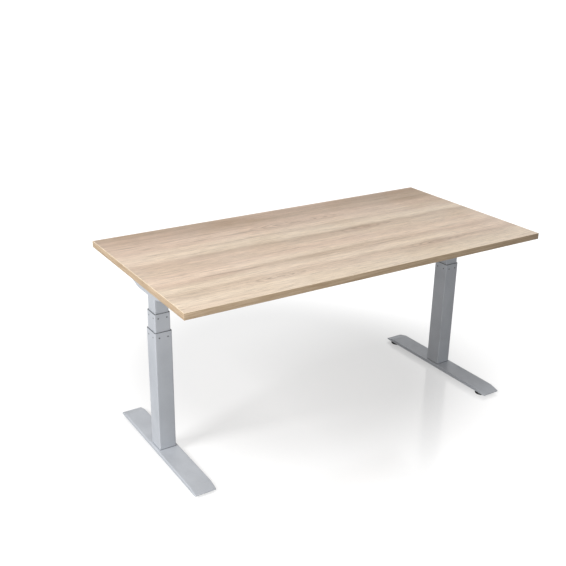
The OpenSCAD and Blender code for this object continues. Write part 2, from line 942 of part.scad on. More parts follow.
module control_box() {
    color(black_plastic)
        difference() {
            union() {
                translate([-box_l / 2, box_y - box_w / 2, box_z])
                    rotate([90, 0, 90])
                        linear_extrude(box_l)
                            polygon([[3, 0], [box_w - 3, 0], [box_w, 3], [box_w, box_h],
                                [0, box_h], [0, 3]]);
                for (x = [-1, 1], y = [-22, 50])
                    translate([x * box_tab_x - 9, y - 8, under_z - 3])
                        cube([18, 16, 3]);
            }
            // hollow for the circuit board
            translate([-box_l / 2 + 14, box_y - box_w / 2 + 3, box_z + 2.5])
                cube([box_l - 28, box_w - 6, box_h - 6]);
            for (x = [-1, 1], y = [-22, 50])
                translate([x * box_tab_x, y, under_z - 4])
                    cylinder(h = 5, d = 3.6);
            // sockets for the leads: both motors, hand switch
            for (p = [[-1, motor_lead_y], [1, motor_lead_y], [1, switch_lead_y]])
                translate([p[0] * (box_l / 2 - 4.8), p[1], plug_z])
                    cube([10, 13.4, 9.4], center = true);
            // opening for the mains inlet
            translate([-box_l / 2 - 1, -25, box_z + 5])
                cube([16, 28, 21]);
            // cooling slots in the cover
            for (x = [-60 : 10 : 60])
                translate([x - 1.5, box_y - 26, box_z - 1])
                    cube([3, 52, 4]);
        }
}

// Three-pin mains inlet set in the control box's left end
module mains_inlet() {
    translate([-box_l / 2, -11, box_z + 15.5]) {
        color(black_plastic)
            difference() {
                union() {
                    translate([0, -14, -10.5])
                        cube([14, 28, 21]);
                    translate([-1.5, -15.5, -12])
                        cube([1.5, 31, 24]);
                }
                translate([-3, -12, -8.5])
                    cube([13, 24, 17]);
            }
        color(bright_steel)
            for (p = [[-7, 2], [0, -2], [7, 2]])
                translate([-0.5, p[0] - 1, p[1] - 2])
                    cube([10.5 + eps, 2, 4]);
    }
}

module box_screws() {
    color(bright_steel) {
        for (x = [-1, 1], y = [-22, 50])
            translate([x * box_tab_x, y, under_z - 3])
                wood_screw(3.4, 16, 7);
        for (x = [-switch_ear_x, switch_ear_x])
            translate([switch_x + x, switch_y + 40, under_z - 3])
                wood_screw(3.4, 14, 7);
    }
}

module hand_switch() {
    color(black_plastic)
        difference() {
            union() {
                translate([switch_x - 33, switch_y, 0])
                    rotate([90, 0, 90])
                        linear_extrude(66)
                            polygon([[0, under_z - 17], [1, under_z - 18], [8, under_z - 18],
                                [55, under_z - 12], [55, under_z], [0, under_z]]);
                translate([switch_x - switch_ear_x - 5.5, switch_y + 32, under_z - 3])
                    cube([2 * switch_ear_x + 11, 16, 3]);
                translate([switch_x, switch_y + 54, under_z - 6])
                    rotate([-90, 0, 0])
                        cylinder(h = 5, r = 3.4);
            }
            for (x = [-14, 14])
                translate([switch_x + x - 9.3, switch_y - 1, key_z - 5.3])
                    cube([18.6, 8, 10.6]);
            for (x = [-switch_ear_x, switch_ear_x])
                translate([switch_x + x, switch_y + 40, under_z - 4])
                    cylinder(h = 5, d = 3.6);
        }
}

// Push key with a raised triangle, pointing up or down
module key(x, dir) {
    color(white_plastic)
        translate([switch_x + x, switch_y, key_z]) {
            translate([-9, -1.8, -5])
                cube([18, 7, 10]);
            translate([0, -1.8 + eps, 0])
                rotate([90, 0, 0])
                    linear_extrude(0.4)
                        polygon([[-3, -dir * 2], [3, -dir * 2], [0, dir * 2.6]]);
        }
}

module button_up() { key(14, 1); }
module button_down() { key(-14, -1); }

module lead_plug(side, y) {
    translate([side * (box_l / 2 + 4.5), y, plug_z])
        cube([28, 13, 9], center = true);
}

module motor_lead_left() {
    color(black_plastic) {
        swept_lead(motor_route, 2.4, 10);
        lead_plug(-1, motor_lead_y);
    }
}

module motor_lead_right() { mirror([1, 0, 0]) motor_lead_left(); }

module switch_lead() {
    color(black_plastic) {
        swept_lead(switch_route, 1.9, 10);
        lead_plug(1, switch_lead_y);
    }
}

// Stick-on saddle clip over a lead, along X or along Y
module lead_clip(r) {
    difference() {
        union() {
            translate([-5, -9, under_z - 1.5])
                cube([10, 18, 1.5]);
            translate([-4, -5, under_z - 8.5])
                cube([8, 10, 8.5]);
        }
        translate([-6, 0, lead_z])
            rotate([0, 90, 0])
                cylinder(h = 12, r = r);
    }
}

module lead_clips() {
    color(black_plastic) {
        for (x = motor_clips, s = [1, -1])
            translate([s * x, motor_lead_y, 0])
                lead_clip(2.5);
        for (p = switch_clips)
            translate([p[0], p[1], 0])
                rotate([0, 0, p[0] == switch_x ? 90 : 0])
                    lead_clip(2);
    }
}

desktop();
edge_strips();
side_arm_left();
side_arm_right();
rail_ends_left();
rail_ends_right();
rail_sleeves();
rail_screws();
inner_tube_left();
inner_tube_right();
inner_glides();
gear_housing_left();
gear_housing_right();
head_bearings();
head_bolts();
motor_left();
motor_right();
arm_screws();
rail_bolts();
control_box();
mains_inlet();
box_screws();
hand_switch();
motor_lead_left();
motor_lead_right();
switch_lead();
lead_clips();
button_up();
button_down();
middle_tube_left();
middle_tube_right();
middle_glides_left();
middle_glides_right();
nut_carrier_left();
nut_carrier_right();
upper_nut_left();
upper_nut_right();
spindle_bearing_left();
spindle_bearing_right();
solid_spindle_left();
solid_spindle_right();
worm_wheel_left();
worm_wheel_right();
worm_left();
worm_right();
hollow_spindle_left();
hollow_spindle_right();
outer_tube_left();
outer_tube_right();
outer_glides();
nut_post_left();
nut_post_right();
lower_nuts();
foot_left();
foot_right();
foot_bolts();
leveller_front_left();
leveller_rear_left();
leveller_front_right();
leveller_rear_right();
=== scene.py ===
import json
from math import radians, sin, cos

import bmesh
import bpy
import numpy as np
from mathutils import Matrix, Vector


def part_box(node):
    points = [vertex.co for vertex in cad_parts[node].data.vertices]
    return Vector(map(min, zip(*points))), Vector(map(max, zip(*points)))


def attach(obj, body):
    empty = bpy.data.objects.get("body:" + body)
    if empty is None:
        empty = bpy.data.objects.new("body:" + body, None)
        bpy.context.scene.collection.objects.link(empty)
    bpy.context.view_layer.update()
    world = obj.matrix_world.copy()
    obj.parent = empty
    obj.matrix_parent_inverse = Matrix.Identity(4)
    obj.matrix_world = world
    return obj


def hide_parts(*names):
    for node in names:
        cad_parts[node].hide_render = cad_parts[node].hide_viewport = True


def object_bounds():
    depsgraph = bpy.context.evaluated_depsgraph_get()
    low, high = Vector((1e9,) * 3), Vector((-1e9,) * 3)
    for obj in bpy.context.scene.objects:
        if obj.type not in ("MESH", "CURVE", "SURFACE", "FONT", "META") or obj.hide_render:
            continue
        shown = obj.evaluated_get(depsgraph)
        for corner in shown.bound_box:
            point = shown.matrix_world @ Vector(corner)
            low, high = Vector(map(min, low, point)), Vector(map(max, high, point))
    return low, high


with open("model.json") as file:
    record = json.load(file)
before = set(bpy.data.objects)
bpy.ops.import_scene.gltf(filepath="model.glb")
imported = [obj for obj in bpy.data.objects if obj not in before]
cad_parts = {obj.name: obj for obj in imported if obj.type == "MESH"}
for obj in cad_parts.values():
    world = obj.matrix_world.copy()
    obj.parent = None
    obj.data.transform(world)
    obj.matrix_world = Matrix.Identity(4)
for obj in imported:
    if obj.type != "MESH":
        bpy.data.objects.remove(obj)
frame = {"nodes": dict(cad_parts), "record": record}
cadBox = [list(corner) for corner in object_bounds()]
nodes = frame["nodes"]
record = frame["record"]
scene = bpy.context.scene
slotOf = {part["node"]: part["material_slot"] for part in record["subparts"]}
bodyOf = {node: body for body, members in record["behaviour"]["bodies"].items() for node in members}
sides = {"left": -1, "right": 1}
turn = 2 * np.pi
print("frame loaded:", len(nodes), "parts")

# where the viewer stands, in metres, and how the lens is turned, in degrees
viewPoint = {"place": (-1.8427, -2.5980, 1.8355), "azimuth": -32.6525, "elevation": 21.8786,
    "roll": 0.9691, "lens": 53.73, "sensor": 36.0}


def addCamera(spec):
    # looks along azimuth and elevation, then rolls about its own line of sight
    a, e, r = (radians(spec[k]) for k in ("azimuth", "elevation", "roll"))
    back = Vector((sin(a) * cos(e), -cos(a) * cos(e), sin(e)))
    right = Vector((cos(a), sin(a), 0))
    up = back.cross(right)
    axes = (cos(r) * right + sin(r) * up, cos(r) * up - sin(r) * right, back)
    data = bpy.data.cameras.new("viewer")
    data.lens, data.sensor_width = spec["lens"], spec["sensor"]
    camera = bpy.data.objects.new("viewer", data)
    camera.matrix_world = Matrix.Translation(spec["place"]) @ Matrix(axes).transposed().to_4x4()
    scene.collection.objects.link(camera)
    scene.camera = camera


# floor, room and two lamps: sizes and places in metres, power in watts
studio = {"floorHalf": 70.0, "floorTone": 0.42, "floorRough": 0.16, "floorShine": 1.0, "glowNear": 0.42,
    "glowFar": 0.74, "patchAt": (0.08, 0.35), "patchSize": (0.86, 1.0), "patchEdge": (0.55, 1.25),
    "sky": 0.36,
    "keyFrom": (-0.80, -0.07, 0.57), "keyAway": 9.0, "keySize": 3.4, "key": 700.0,
    "fillFrom": (-0.30, -0.90, 0.22), "fillAway": 1.9, "fillSize": 1.2, "fill": 11.0}


def addLamp(name, fromWhere, away, size, power, aim):
    # a square soft box, away along fromWhere from the point it is aimed at
    data = bpy.data.lights.new(name, "AREA")
    data.size, data.energy = size, power
    lamp = bpy.data.objects.new(name, data)
    towards = Vector(fromWhere).normalized()
    facing = towards.to_track_quat("Z", "Y").to_matrix().to_4x4()
    lamp.matrix_world = Matrix.Translation(aim + towards * away) @ facing
    scene.collection.objects.link(lamp)


addCamera(viewPoint)
middle = Vector((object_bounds()[0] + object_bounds()[1]) / 2)
column = Vector((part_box("outer_tube_left")[0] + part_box("outer_tube_left")[1]) / 2)
addLamp("softBoxLeft", studio["keyFrom"], studio["keyAway"], studio["keySize"], studio["key"], middle)
addLamp("softBoxFront", studio["fillFrom"], studio["fillAway"], studio["fillSize"], studio["fill"], column)
scene.view_settings.view_transform = "Standard"
print("camera and lamps placed")


def tint(red, green, blue):
    # a colour given as 0 to 255, made linear
    c = np.array((red, green, blue)) / 255
    return (*np.where(c <= 0.04045, c / 12.92, ((c + 0.055) / 1.055) ** 2.4), 1.0)


def put(tree, kind, sockets=None, **settings):
    # adds a shader node; a socket's value is a number, a colour or another node's output
    made = tree.nodes.new("ShaderNode" + kind)
    for key, value in settings.items():
        setattr(made, key, value)
    for key, value in (sockets or {}).items():
        if isinstance(value, bpy.types.NodeSocket):
            tree.links.new(value, made.inputs[key])
        else:
            made.inputs[key].default_value = value
    return made


def maths(tree, operation, *values):
    return put(tree, "Math", dict(enumerate(values)), operation=operation).outputs[0]


def stretched(tree, vector, scale):
    return put(tree, "VectorMath", {0: vector, 1: scale}, operation="MULTIPLY").outputs[0]


def noise(tree, vector, scale=1.0, detail=2.0, rough=0.5, warp=0.0):
    made = put(tree, "TexNoise", {"Vector": vector, "Scale": scale, "Detail": detail,
        "Roughness": rough, "Distortion": warp})
    return made.outputs["Fac"]


def spread(tree, value, low, high, outLow=0.0, outHigh=1.0, smooth=True):
    # value from low to high becomes outLow to outHigh
    made = put(tree, "MapRange", {"Value": value, "From Min": low, "From Max": high,
        "To Min": outLow, "To Max": outHigh})
    made.interpolation_type = "SMOOTHSTEP" if smooth else "LINEAR"
    return made.outputs["Result"]


def blendColour(tree, share, first, second, how="MIX"):
    return put(tree, "Mix", {0: share, 6: first, 7: second}, data_type="RGBA", blend_type=how).outputs[2]


def newGroup(name, takes, gives):
    # a node group with named inputs (name: default value) and outputs (name: socket kind)
    group = bpy.data.node_groups.new(name, "ShaderNodeTree")
    for label, value in takes.items():
        kind = "Vector" if value is None else "Color" if isinstance(value, tuple) else "Float"
        socket = group.interface.new_socket(label, in_out="INPUT", socket_type="NodeSocket" + kind)
        if value is not None:
            socket.default_value = value
    for label, kind in gives.items():
        group.interface.new_socket(label, in_out="OUTPUT", socket_type="NodeSocket" + kind)
    return group, group.nodes.new("NodeGroupInput").outputs, group.nodes.new("NodeGroupOutput").inputs


def useGroup(tree, group, **values):
    made = tree.nodes.new("ShaderNodeGroup")
    made.node_tree = group
    for key, value in values.items():
        if isinstance(value, bpy.types.NodeSocket):
            tree.links.new(value, made.inputs[key])
        else:
            made.inputs[key].default_value = value
    return made.outputs


def newMaterial(name):
    # a material with a Principled surface; gives the material, its tree, the surface and Object coordinates
    material = bpy.data.materials.new(name)
    material.use_nodes = True
    tree = material.node_tree
    surface = tree.nodes["Principled BSDF"]
    place = put(tree, "TexCoord").outputs["Object"]
    return material, tree, surface, place


def bump(tree, surface, height, distance, strength=1.0):
    made = put(tree, "Bump", {"Height": height, "Distance": distance, "Strength": strength})
    tree.links.new(made.outputs["Normal"], surface.inputs["Normal"])


def handlingGroup():
    # large soft patches, where hands and cloths have wiped a surface
    group, i, o = newGroup("handling", {"Vector": None, "Patch": 6.0}, {"Wiped": "Float"})
    patches = noise(group, i["Vector"], i["Patch"], 3, 0.6, 0.4)
    group.links.new(spread(group, patches, 0.35, 0.68), o["Wiped"])
    return group


def coatTextureGroup():
    # powder coat: rounded orange peel with finer grit on it
    group, i, o = newGroup("coatTexture", {"Vector": None, "Peel": 420.0, "Grit": 1900.0},
        {"Height": "Float", "Sparkle": "Float"})
    peel = noise(group, i["Vector"], i["Peel"], 1, 0.4)
    grit = noise(group, i["Vector"], i["Grit"], 1, 0.5)
    total = maths(group, "ADD", peel, maths(group, "MULTIPLY", grit, 0.3))
    group.links.new(total, o["Height"])
    group.links.new(spread(group, grit, 0.55, 0.75), o["Sparkle"])
    return group


def grainLineGroup():
    # one wandering dark growth line at a chosen depth of the board, between two ends where it fades out
    takes = {"Vector": None, "At": 0.0, "From": 0.0, "To": 0.1, "Width": 0.003, "Wander": 0.02, "Depth": 1.0}
    group, i, o = newGroup("grainLine", takes, {"Mark": "Float"})
    axis = put(group, "SeparateXYZ", {0: i["Vector"]}).outputs
    slow = noise(group, stretched(group, i["Vector"], (2.6, 3.0, 3.0)), 1, 2, 0.5)
    offset = maths(group, "MULTIPLY", maths(group, "SUBTRACT", slow, 0.5), i["Wander"])
    away = maths(group, "SUBTRACT", maths(group, "SUBTRACT", axis["Y"], i["At"]), offset)
    patchy = noise(group, stretched(group, i["Vector"], (7, 60, 60)), 1, 2, 0.6)
    width = maths(group, "MULTIPLY", i["Width"], spread(group, patchy, 0.3, 0.7, 0.35, 1.4))
    ratio = maths(group, "DIVIDE", away, width)
    hill = maths(group, "EXPONENT", maths(group, "MULTIPLY", maths(group, "MULTIPLY", ratio, ratio), -1.0))
    start = spread(group, maths(group, "SUBTRACT", axis["X"], i["From"]), 0.0, 0.09)
    stop = spread(group, maths(group, "SUBTRACT", i["To"], axis["X"]), 0.0, 0.09)
    both = maths(group, "MULTIPLY", maths(group, "MULTIPLY", start, stop), i["Depth"])
    group.links.new(maths(group, "MULTIPLY", hill, both), o["Mark"])
    return group


def flameGroup():
    # a cathedral figure: nested long arches round a middle, their rings closer towards the rim
    takes = {"Vector": None, "X": 0.0, "Y": 0.0, "Long": 0.3, "Deep": 0.05, "Rings": 5.0}
    group, i, o = newGroup("flame", takes, {"Mark": "Float", "Heart": "Float"})
    axis = put(group, "SeparateXYZ", {0: i["Vector"]}).outputs
    wobble = noise(group, stretched(group, i["Vector"], (6, 26, 26)), 1, 3, 0.6)
    dx = maths(group, "DIVIDE", maths(group, "SUBTRACT", axis["X"], i["X"]), i["Long"])
    dy = maths(group, "DIVIDE", maths(group, "SUBTRACT", axis["Y"], i["Y"]), i["Deep"])
    across = maths(group, "MULTIPLY", dy, maths(group, "MULTIPLY_ADD", dx, 0.55, 1.1))
    span = maths(group, "SQRT", maths(group, "ADD", maths(group, "MULTIPLY", dx, dx),
        maths(group, "MULTIPLY", across, across)))
    span = maths(group, "ADD", span, maths(group, "MULTIPLY", maths(group, "SUBTRACT", wobble, 0.5), 0.5))
    wave = maths(group, "SINE", maths(group, "MULTIPLY", maths(group, "MULTIPLY", span, i["Rings"]), 6.2832))
    line = maths(group, "POWER", maths(group, "MULTIPLY_ADD", wave, 0.5, 0.5), 3.0)
    fade = spread(group, span, 0.25, 1.15, 1.0, 0.0)
    group.links.new(maths(group, "MULTIPLY", line, fade), o["Mark"])
    group.links.new(spread(group, span, 0.0, 1.1, 1.0, 0.0), o["Heart"])
    return group


def sawnGrainGroup():
    # what all the wood shares, along X: wide soft bands, streaks, pores and faint saw marks
    gives = {"Band": "Float", "Warmth": "Float", "Streaks": "Float", "Pores": "Float", "Saw": "Float"}
    group, i, o = newGroup("sawnGrain", {"Vector": None}, gives)
    place = i["Vector"]
    group.links.new(noise(group, stretched(group, place, (0.7, 16, 16)), 1, 3, 0.55, 0.3), o["Band"])
    warmth = noise(group, stretched(group, place, (0.9, 7, 7)), 1.0, 2, 0.5)
    group.links.new(spread(group, warmth, 0.35, 0.65), o["Warmth"])
    group.links.new(noise(group, stretched(group, place, (6.5, 165, 165)), 1, 4, 0.68), o["Streaks"])
    pores = noise(group, stretched(group, place, (22, 900, 900)), 1, 2, 0.5)
    group.links.new(spread(group, pores, 0.58, 0.72), o["Pores"])
    saw = noise(group, stretched(group, place, (190, 6, 6)), 1, 2, 0.5)
    sawWhere = noise(group, stretched(group, place, (2.2, 2.2, 2.2)), 1, 1, 0.5)
    group.links.new(maths(group, "MULTIPLY", saw, spread(group, sawWhere, 0.4, 0.7)), o["Saw"])
    return group


def turnedMetalGroup():
    # fine tool marks round a turned or drawn part, and dull zinc bloom
    gives = {"Lines": "Float", "Bloom": "Float"}
    group, i, o = newGroup("turnedMetal", {"Vector": None, "Marks": 1.0}, gives)
    lines = noise(group, stretched(group, i["Vector"], (240, 240, 2600)), i["Marks"], 2, 0.6)
    bloom = noise(group, i["Vector"], 90, 4, 0.65)
    group.links.new(lines, o["Lines"])
    group.links.new(spread(group, bloom, 0.35, 0.7), o["Bloom"])
    return group


def sparkSkinGroup():
    # moulded plastic with an even spark-eroded skin
    gives = {"Height": "Float", "Tone": "Float"}
    group, i, o = newGroup("sparkSkin", {"Vector": None, "Grain": 1500.0}, gives)
    cells = put(group, "TexVoronoi", {"Vector": i["Vector"], "Scale": i["Grain"]}).outputs["Distance"]
    fine = noise(group, i["Vector"], i["Grain"], 2, 0.6)
    group.links.new(maths(group, "ADD", cells, fine), o["Height"])
    group.links.new(noise(group, i["Vector"], 35, 3, 0.6), o["Tone"])
    return group


handling, coatTexture, sawnGrain = handlingGroup(), coatTextureGroup(), sawnGrainGroup()
grainLine, flame = grainLineGroup(), flameGroup()
turnedMetal, sparkSkin = turnedMetalGroup(), sparkSkinGroup()
print("shader groups built")

# tone: from the board's front edge to its back, in metres, 0 dark to 1 light; banding, with painted shade
# falling towards the back
# lines: at, from, to, width, wander, depth; flames: x, y, long, deep, rings
board = {"light": tint(250, 231, 207), "dark": tint(172, 145, 120), "pink": tint(236, 207, 187),
    "line": tint(140, 116, 94), "pore": tint(126, 102, 82), "rough": (0.42, 0.56),
    "tone": ((-0.400, 0.86), (-0.330, 0.90), (-0.285, 0.58), (-0.262, 0.44), (-0.240, 0.66), (-0.212, 0.86),
        (-0.182, 0.58), (-0.160, 0.36), (-0.142, 0.74), (-0.108, 0.96), (-0.082, 0.70), (-0.040, 0.54),
        (0.005, 0.52), (0.030, 0.38), (0.056, 0.76), (0.098, 0.88), (0.124, 0.56), (0.152, 0.62),
        (0.200, 0.38), (0.236, 0.42), (0.255, 0.20), (0.300, 0.24), (0.345, 0.04), (0.400, 0.0)),
    "lines": ((-0.160, -0.66, -0.34, 0.0045, 0.02, 0.75), (-0.176, 0.06, 0.34, 0.0040, 0.02, 0.65),
        (-0.065, -0.54, -0.06, 0.0022, 0.03, 0.50), (0.030, 0.06, 0.30, 0.0065, 0.02, 0.85),
        (0.130, -0.74, -0.06, 0.0022, 0.05, 0.60), (0.200, -0.54, -0.12, 0.0035, 0.03, 0.60),
        (0.250, -0.80, -0.16, 0.0040, 0.03, 0.60), (0.318, 0.24, 0.62, 0.0060, 0.03, 0.45)),
    "flames": ((-0.37, -0.280, 0.15, 0.030, 3.6), (0.38, -0.266, 0.17, 0.030, 4.0),
        (0.02, 0.215, 0.30, 0.045, 4.5), (0.24, 0.020, 0.20, 0.034, 3.6))}


def boardDecor():
    material, tree, surface, place = newMaterial("lightOakDecor")
    axis = put(tree, "SeparateXYZ", {0: place}).outputs
    g = useGroup(tree, sawnGrain, Vector=place)
    drift = noise(tree, stretched(tree, place, (1.4, 4, 4)), 1, 2, 0.55)
    depth = maths(tree, "ADD", axis["Y"], maths(tree, "MULTIPLY", maths(tree, "SUBTRACT", drift, 0.5), 0.09))
    half = round(cadBox[1][1], 4)
    # painted shade: the tone ramp darkens towards the board's back, on top of its banding
    share = spread(tree, depth, -half, half, 0.0, 1.0, False)
    ramp = put(tree, "ValToRGB", {"Fac": share})
    stops = ramp.color_ramp.elements
    stops[0].position, stops[1].position = 0.0, 1.0
    stops[0].color, stops[1].color = [(v, v, v, 1) for v in (board["tone"][0][1], board["tone"][-1][1])]
    for at, tone in board["tone"][1:-1]:
        stops.new((at + half) / (2 * half)).color = (tone, tone, tone, 1)
    tone = maths(tree, "MULTIPLY_ADD", maths(tree, "SUBTRACT", g["Band"], 0.5), 0.75, ramp.outputs["Color"])
    dark = 0.0
    for at, start, stop, width, wander, deep in board["lines"]:
        mark = useGroup(tree, grainLine, **{"Vector": place, "At": at, "From": start, "To": stop,
            "Width": width, "Wander": wander, "Depth": deep})["Mark"]
        dark = maths(tree, "MAXIMUM", dark, mark)
    for x, y, length, deep, rings in board["flames"]:
        figure = useGroup(tree, flame, **{"Vector": place, "X": x, "Y": y, "Long": length,
            "Deep": deep, "Rings": rings})
        dark = maths(tree, "MAXIMUM", dark, maths(tree, "MULTIPLY", figure["Mark"], 0.8))
        tone = maths(tree, "SUBTRACT", tone, maths(tree, "MULTIPLY", figure["Heart"], 0.10))
    colour = blendColour(tree, tone, board["dark"], board["light"])
    colour = blendColour(tree, maths(tree, "MULTIPLY", g["Warmth"], 0.5), colour, board["pink"])
    colour = blendColour(tree, maths(tree, "MULTIPLY", dark, 0.68), colour, board["line"])
    threads = noise(tree, stretched(tree, place, (1.8, 55, 55)), 1, 3, 0.6)
    streak = maths(tree, "MULTIPLY", spread(tree, g["Streaks"], 0.3, 0.7, 0.82, 1.13, False),
        spread(tree, threads, 0.3, 0.7, 0.95, 1.04, False))
    dashes = noise(tree, stretched(tree, place, (22, 310, 310)), 1, 2, 0.6)
    streak = maths(tree, "MULTIPLY", streak, spread(tree, dashes, 0.3, 0.7, 0.84, 1.12, False))
    grey = put(tree, "CombineColor", {0: streak, 1: streak, 2: streak}).outputs[0]
    colour = blendColour(tree, 1.0, colour, grey, "MULTIPLY")
    flecks = maths(tree, "MULTIPLY", spread(tree, g["Streaks"], 0.44, 0.30), spread(tree, threads, 0.35, 0.6))
    colour = blendColour(tree, maths(tree, "MULTIPLY", flecks, 0.45), colour, board["line"])
    colour = blendColour(tree, maths(tree, "MULTIPLY", g["Pores"], 0.35), colour, board["pore"])
    colour = blendColour(tree, maths(tree, "MULTIPLY", g["Saw"], 0.16), colour, board["light"])
    tree.links.new(colour, surface.inputs["Base Color"])
    wiped = useGroup(tree, handling, Vector=place, Patch=3.0)["Wiped"]
    tree.links.new(spread(tree, wiped, 0, 1, *board["rough"]), surface.inputs["Roughness"])
    relief = maths(tree, "SUBTRACT", maths(tree, "MULTIPLY", g["Streaks"], 0.5), g["Pores"])
    bump(tree, surface, relief, 0.00006)
    return material


# arris: a paler colour, the painted highlight along the strip's top arris
strip = {"light": tint(204, 182, 154), "dark": tint(164, 138, 108), "pore": tint(118, 94, 70),
    "arris": tint(238, 220, 194)}


def stripDecor():
    material, tree, surface, place = newMaterial("edgeStripDecor")
    axis = put(tree, "SeparateXYZ", {0: place}).outputs
    # along whichever way the strip runs, with its grain in the long direction
    along = maths(tree, "ADD", axis["X"], axis["Y"])
    flat = put(tree, "CombineXYZ", {0: along, 1: axis["Z"], 2: 0.0}).outputs[0]
    g = useGroup(tree, sawnGrain, Vector=flat)
    share = maths(tree, "MULTIPLY_ADD", g["Streaks"], 0.75, maths(tree, "MULTIPLY", g["Band"], 0.3))
    colour = blendColour(tree, spread(tree, share, 0.3, 0.75), strip["dark"], strip["light"])
    colour = blendColour(tree, maths(tree, "MULTIPLY", g["Pores"], 0.4), colour, strip["pore"])
    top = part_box("desktop")[1][2]
    # painted highlight: the strip turns paler over its top 1.2 mm, along its top arris
    colour = blendColour(tree, spread(tree, axis["Z"], top - 0.0012, top - 0.0003), colour, strip["arris"])
    tree.links.new(colour, surface.inputs["Base Color"])
    tree.links.new(spread(tree, g["Streaks"], 0.3, 0.7, 0.38, 0.5), surface.inputs["Roughness"])
    bump(tree, surface, g["Streaks"], 0.00004)
    return material


# seam: the colour of the painted shade above each foot's top
coat = {"colour": tint(190, 194, 200), "deep": tint(180, 184, 190), "flake": tint(220, 223, 227),
    "seam": tint(84, 88, 94)}


def powderCoat():
    material, tree, surface, place = newMaterial("silverPowderCoat")
    h = useGroup(tree, handling, Vector=place, Patch=5.0)
    c = useGroup(tree, coatTexture, Vector=place)
    colour = blendColour(tree, h["Wiped"], coat["deep"], coat["colour"])
    colour = blendColour(tree, maths(tree, "MULTIPLY", c["Sparkle"], 0.3), colour, coat["flake"])
    # painted shade in the seam where a column stands on its foot: darker just above the foot's top
    height = put(tree, "SeparateXYZ", {0: place}).outputs["Z"]
    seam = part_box("foot_left")[1][2]
    seamShade = maths(tree, "MULTIPLY", spread(tree, height, seam + 0.0001, seam + 0.0004),
        spread(tree, height, seam + 0.0012, seam + 0.0040, 0.8, 0.0))
    colour = blendColour(tree, seamShade, colour, coat["seam"])
    tree.links.new(colour, surface.inputs["Base Color"])
    tree.links.new(spread(tree, h["Wiped"], 0, 1, 0.46, 0.38), surface.inputs["Roughness"])
    surface.inputs["Metallic"].default_value = 0.15
    surface.inputs["Specular IOR Level"].default_value = 0.3
    bump(tree, surface, c["Height"], 0.00003)
    return material


def metalFinish(name, light, dark, rough, metallic, marks=1.0, depth=0.00002):
    # bare or plated metal: tool marks, dull bloom and a soft spread of roughness
    material, tree, surface, place = newMaterial(name)
    t = useGroup(tree, turnedMetal, Vector=place, Marks=marks)
    tree.links.new(blendColour(tree, t["Bloom"], dark, light), surface.inputs["Base Color"])
    tree.links.new(spread(tree, t["Lines"], 0.3, 0.7, *rough), surface.inputs["Roughness"])
    surface.inputs["Metallic"].default_value = metallic
    bump(tree, surface, t["Lines"], depth)
    return material


def plasticFinish(name, colour, worn, rough, grain=1500.0, depth=0.00003):
    # moulded plastic: spark skin, slightly paler where handled
    material, tree, surface, place = newMaterial(name)
    s = useGroup(tree, sparkSkin, Vector=place, Grain=grain)
    h = useGroup(tree, handling, Vector=place, Patch=25.0)
    tree.links.new(blendColour(tree, maths(tree, "MULTIPLY", h["Wiped"], 0.6), colour, worn),
        surface.inputs["Base Color"])
    tree.links.new(spread(tree, s["Tone"], 0.3, 0.7, *rough), surface.inputs["Roughness"])
    bump(tree, surface, s["Height"], depth)
    return material


# metals: light, dark, roughness from and to, metallic; plastics: clean, worn, roughness from and to
finish = {
    "board": boardDecor(),
    "edge_strip": stripDecor(),
    "frame_paint": powderCoat(),
    "zinc_steel": metalFinish("zincPlate", tint(200, 202, 206), tint(160, 163, 168), (0.24, 0.4), 1.0),
    "cast_housing": metalFinish("diecastGrey", tint(176, 178, 180), tint(140, 142, 145), (0.5, 0.64), 0.8,
        0.35),
    "bronze": metalFinish("nutBronze", tint(206, 160, 98), tint(168, 122, 70), (0.26, 0.42), 1.0),
    "black_plastic": plasticFinish("blackShell", tint(34, 34, 36), tint(52, 52, 54), (0.5, 0.62)),
    "lead_sheath": plasticFinish("leadSheath", tint(26, 26, 28), tint(44, 44, 46), (0.55, 0.7), 2600),
    "key_plastic": plasticFinish("keyGrey", tint(206, 207, 205), tint(190, 190, 188), (0.4, 0.5), 2600,
        0.00001),
    "pad_plastic": plasticFinish("padBlack", tint(30, 30, 31), tint(58, 58, 58), (0.55, 0.72), 900),
}
glideGrey = plasticFinish("glideGrey", tint(96, 99, 103), tint(112, 115, 118), (0.45, 0.6))
for name, part in nodes.items():
    part.material_slots[0].material = glideGrey if "glides" in name else finish[slotOf[name]]
print("materials assigned")


def camel(node):
    first, *rest = node.split("_")
    return first + "".join(word.capitalize() for word in rest)


def gridFaces(rows, cols, loopRows=False, loopCols=False):
    # four neighbours of a rows by cols grid make each face; points are numbered row by row
    r, c = np.meshgrid(np.arange(rows - (not loopRows)), np.arange(cols - (not loopCols)), indexing="ij")
    down, along = (r + 1) % rows, (c + 1) % cols
    return np.stack([r * cols + c, r * cols + along, down * cols + along, down * cols + c], -1).reshape(-1, 4)


def loft(rows):
    # closed surface through a stack of loops, with a middle point closing each end
    m, n = rows.shape[:2]
    points = np.concatenate([rows.reshape(-1, 3), rows[:1].mean(1), rows[-1:].mean(1)])
    c = np.arange(n)
    after = (c + 1) % n
    first = np.stack([np.full(n, m * n), after, c], 1)
    last = np.stack([np.full(n, m * n + 1), (m - 1) * n + c, (m - 1) * n + after], 1)
    return points, [gridFaces(m, n, loopCols=True), np.concatenate([first, last])]


def volumeOf(points, faces):
    # the triple products of every face's triangles, fanned from its first corner and summed, over six
    total = 0.0
    for polys in faces:
        for k in range(1, polys.shape[1] - 1):
            total += np.einsum("ij,ij->", points[polys[:, 0]],
                np.cross(points[polys[:, k]], points[polys[:, k + 1]]))
    return total / 6


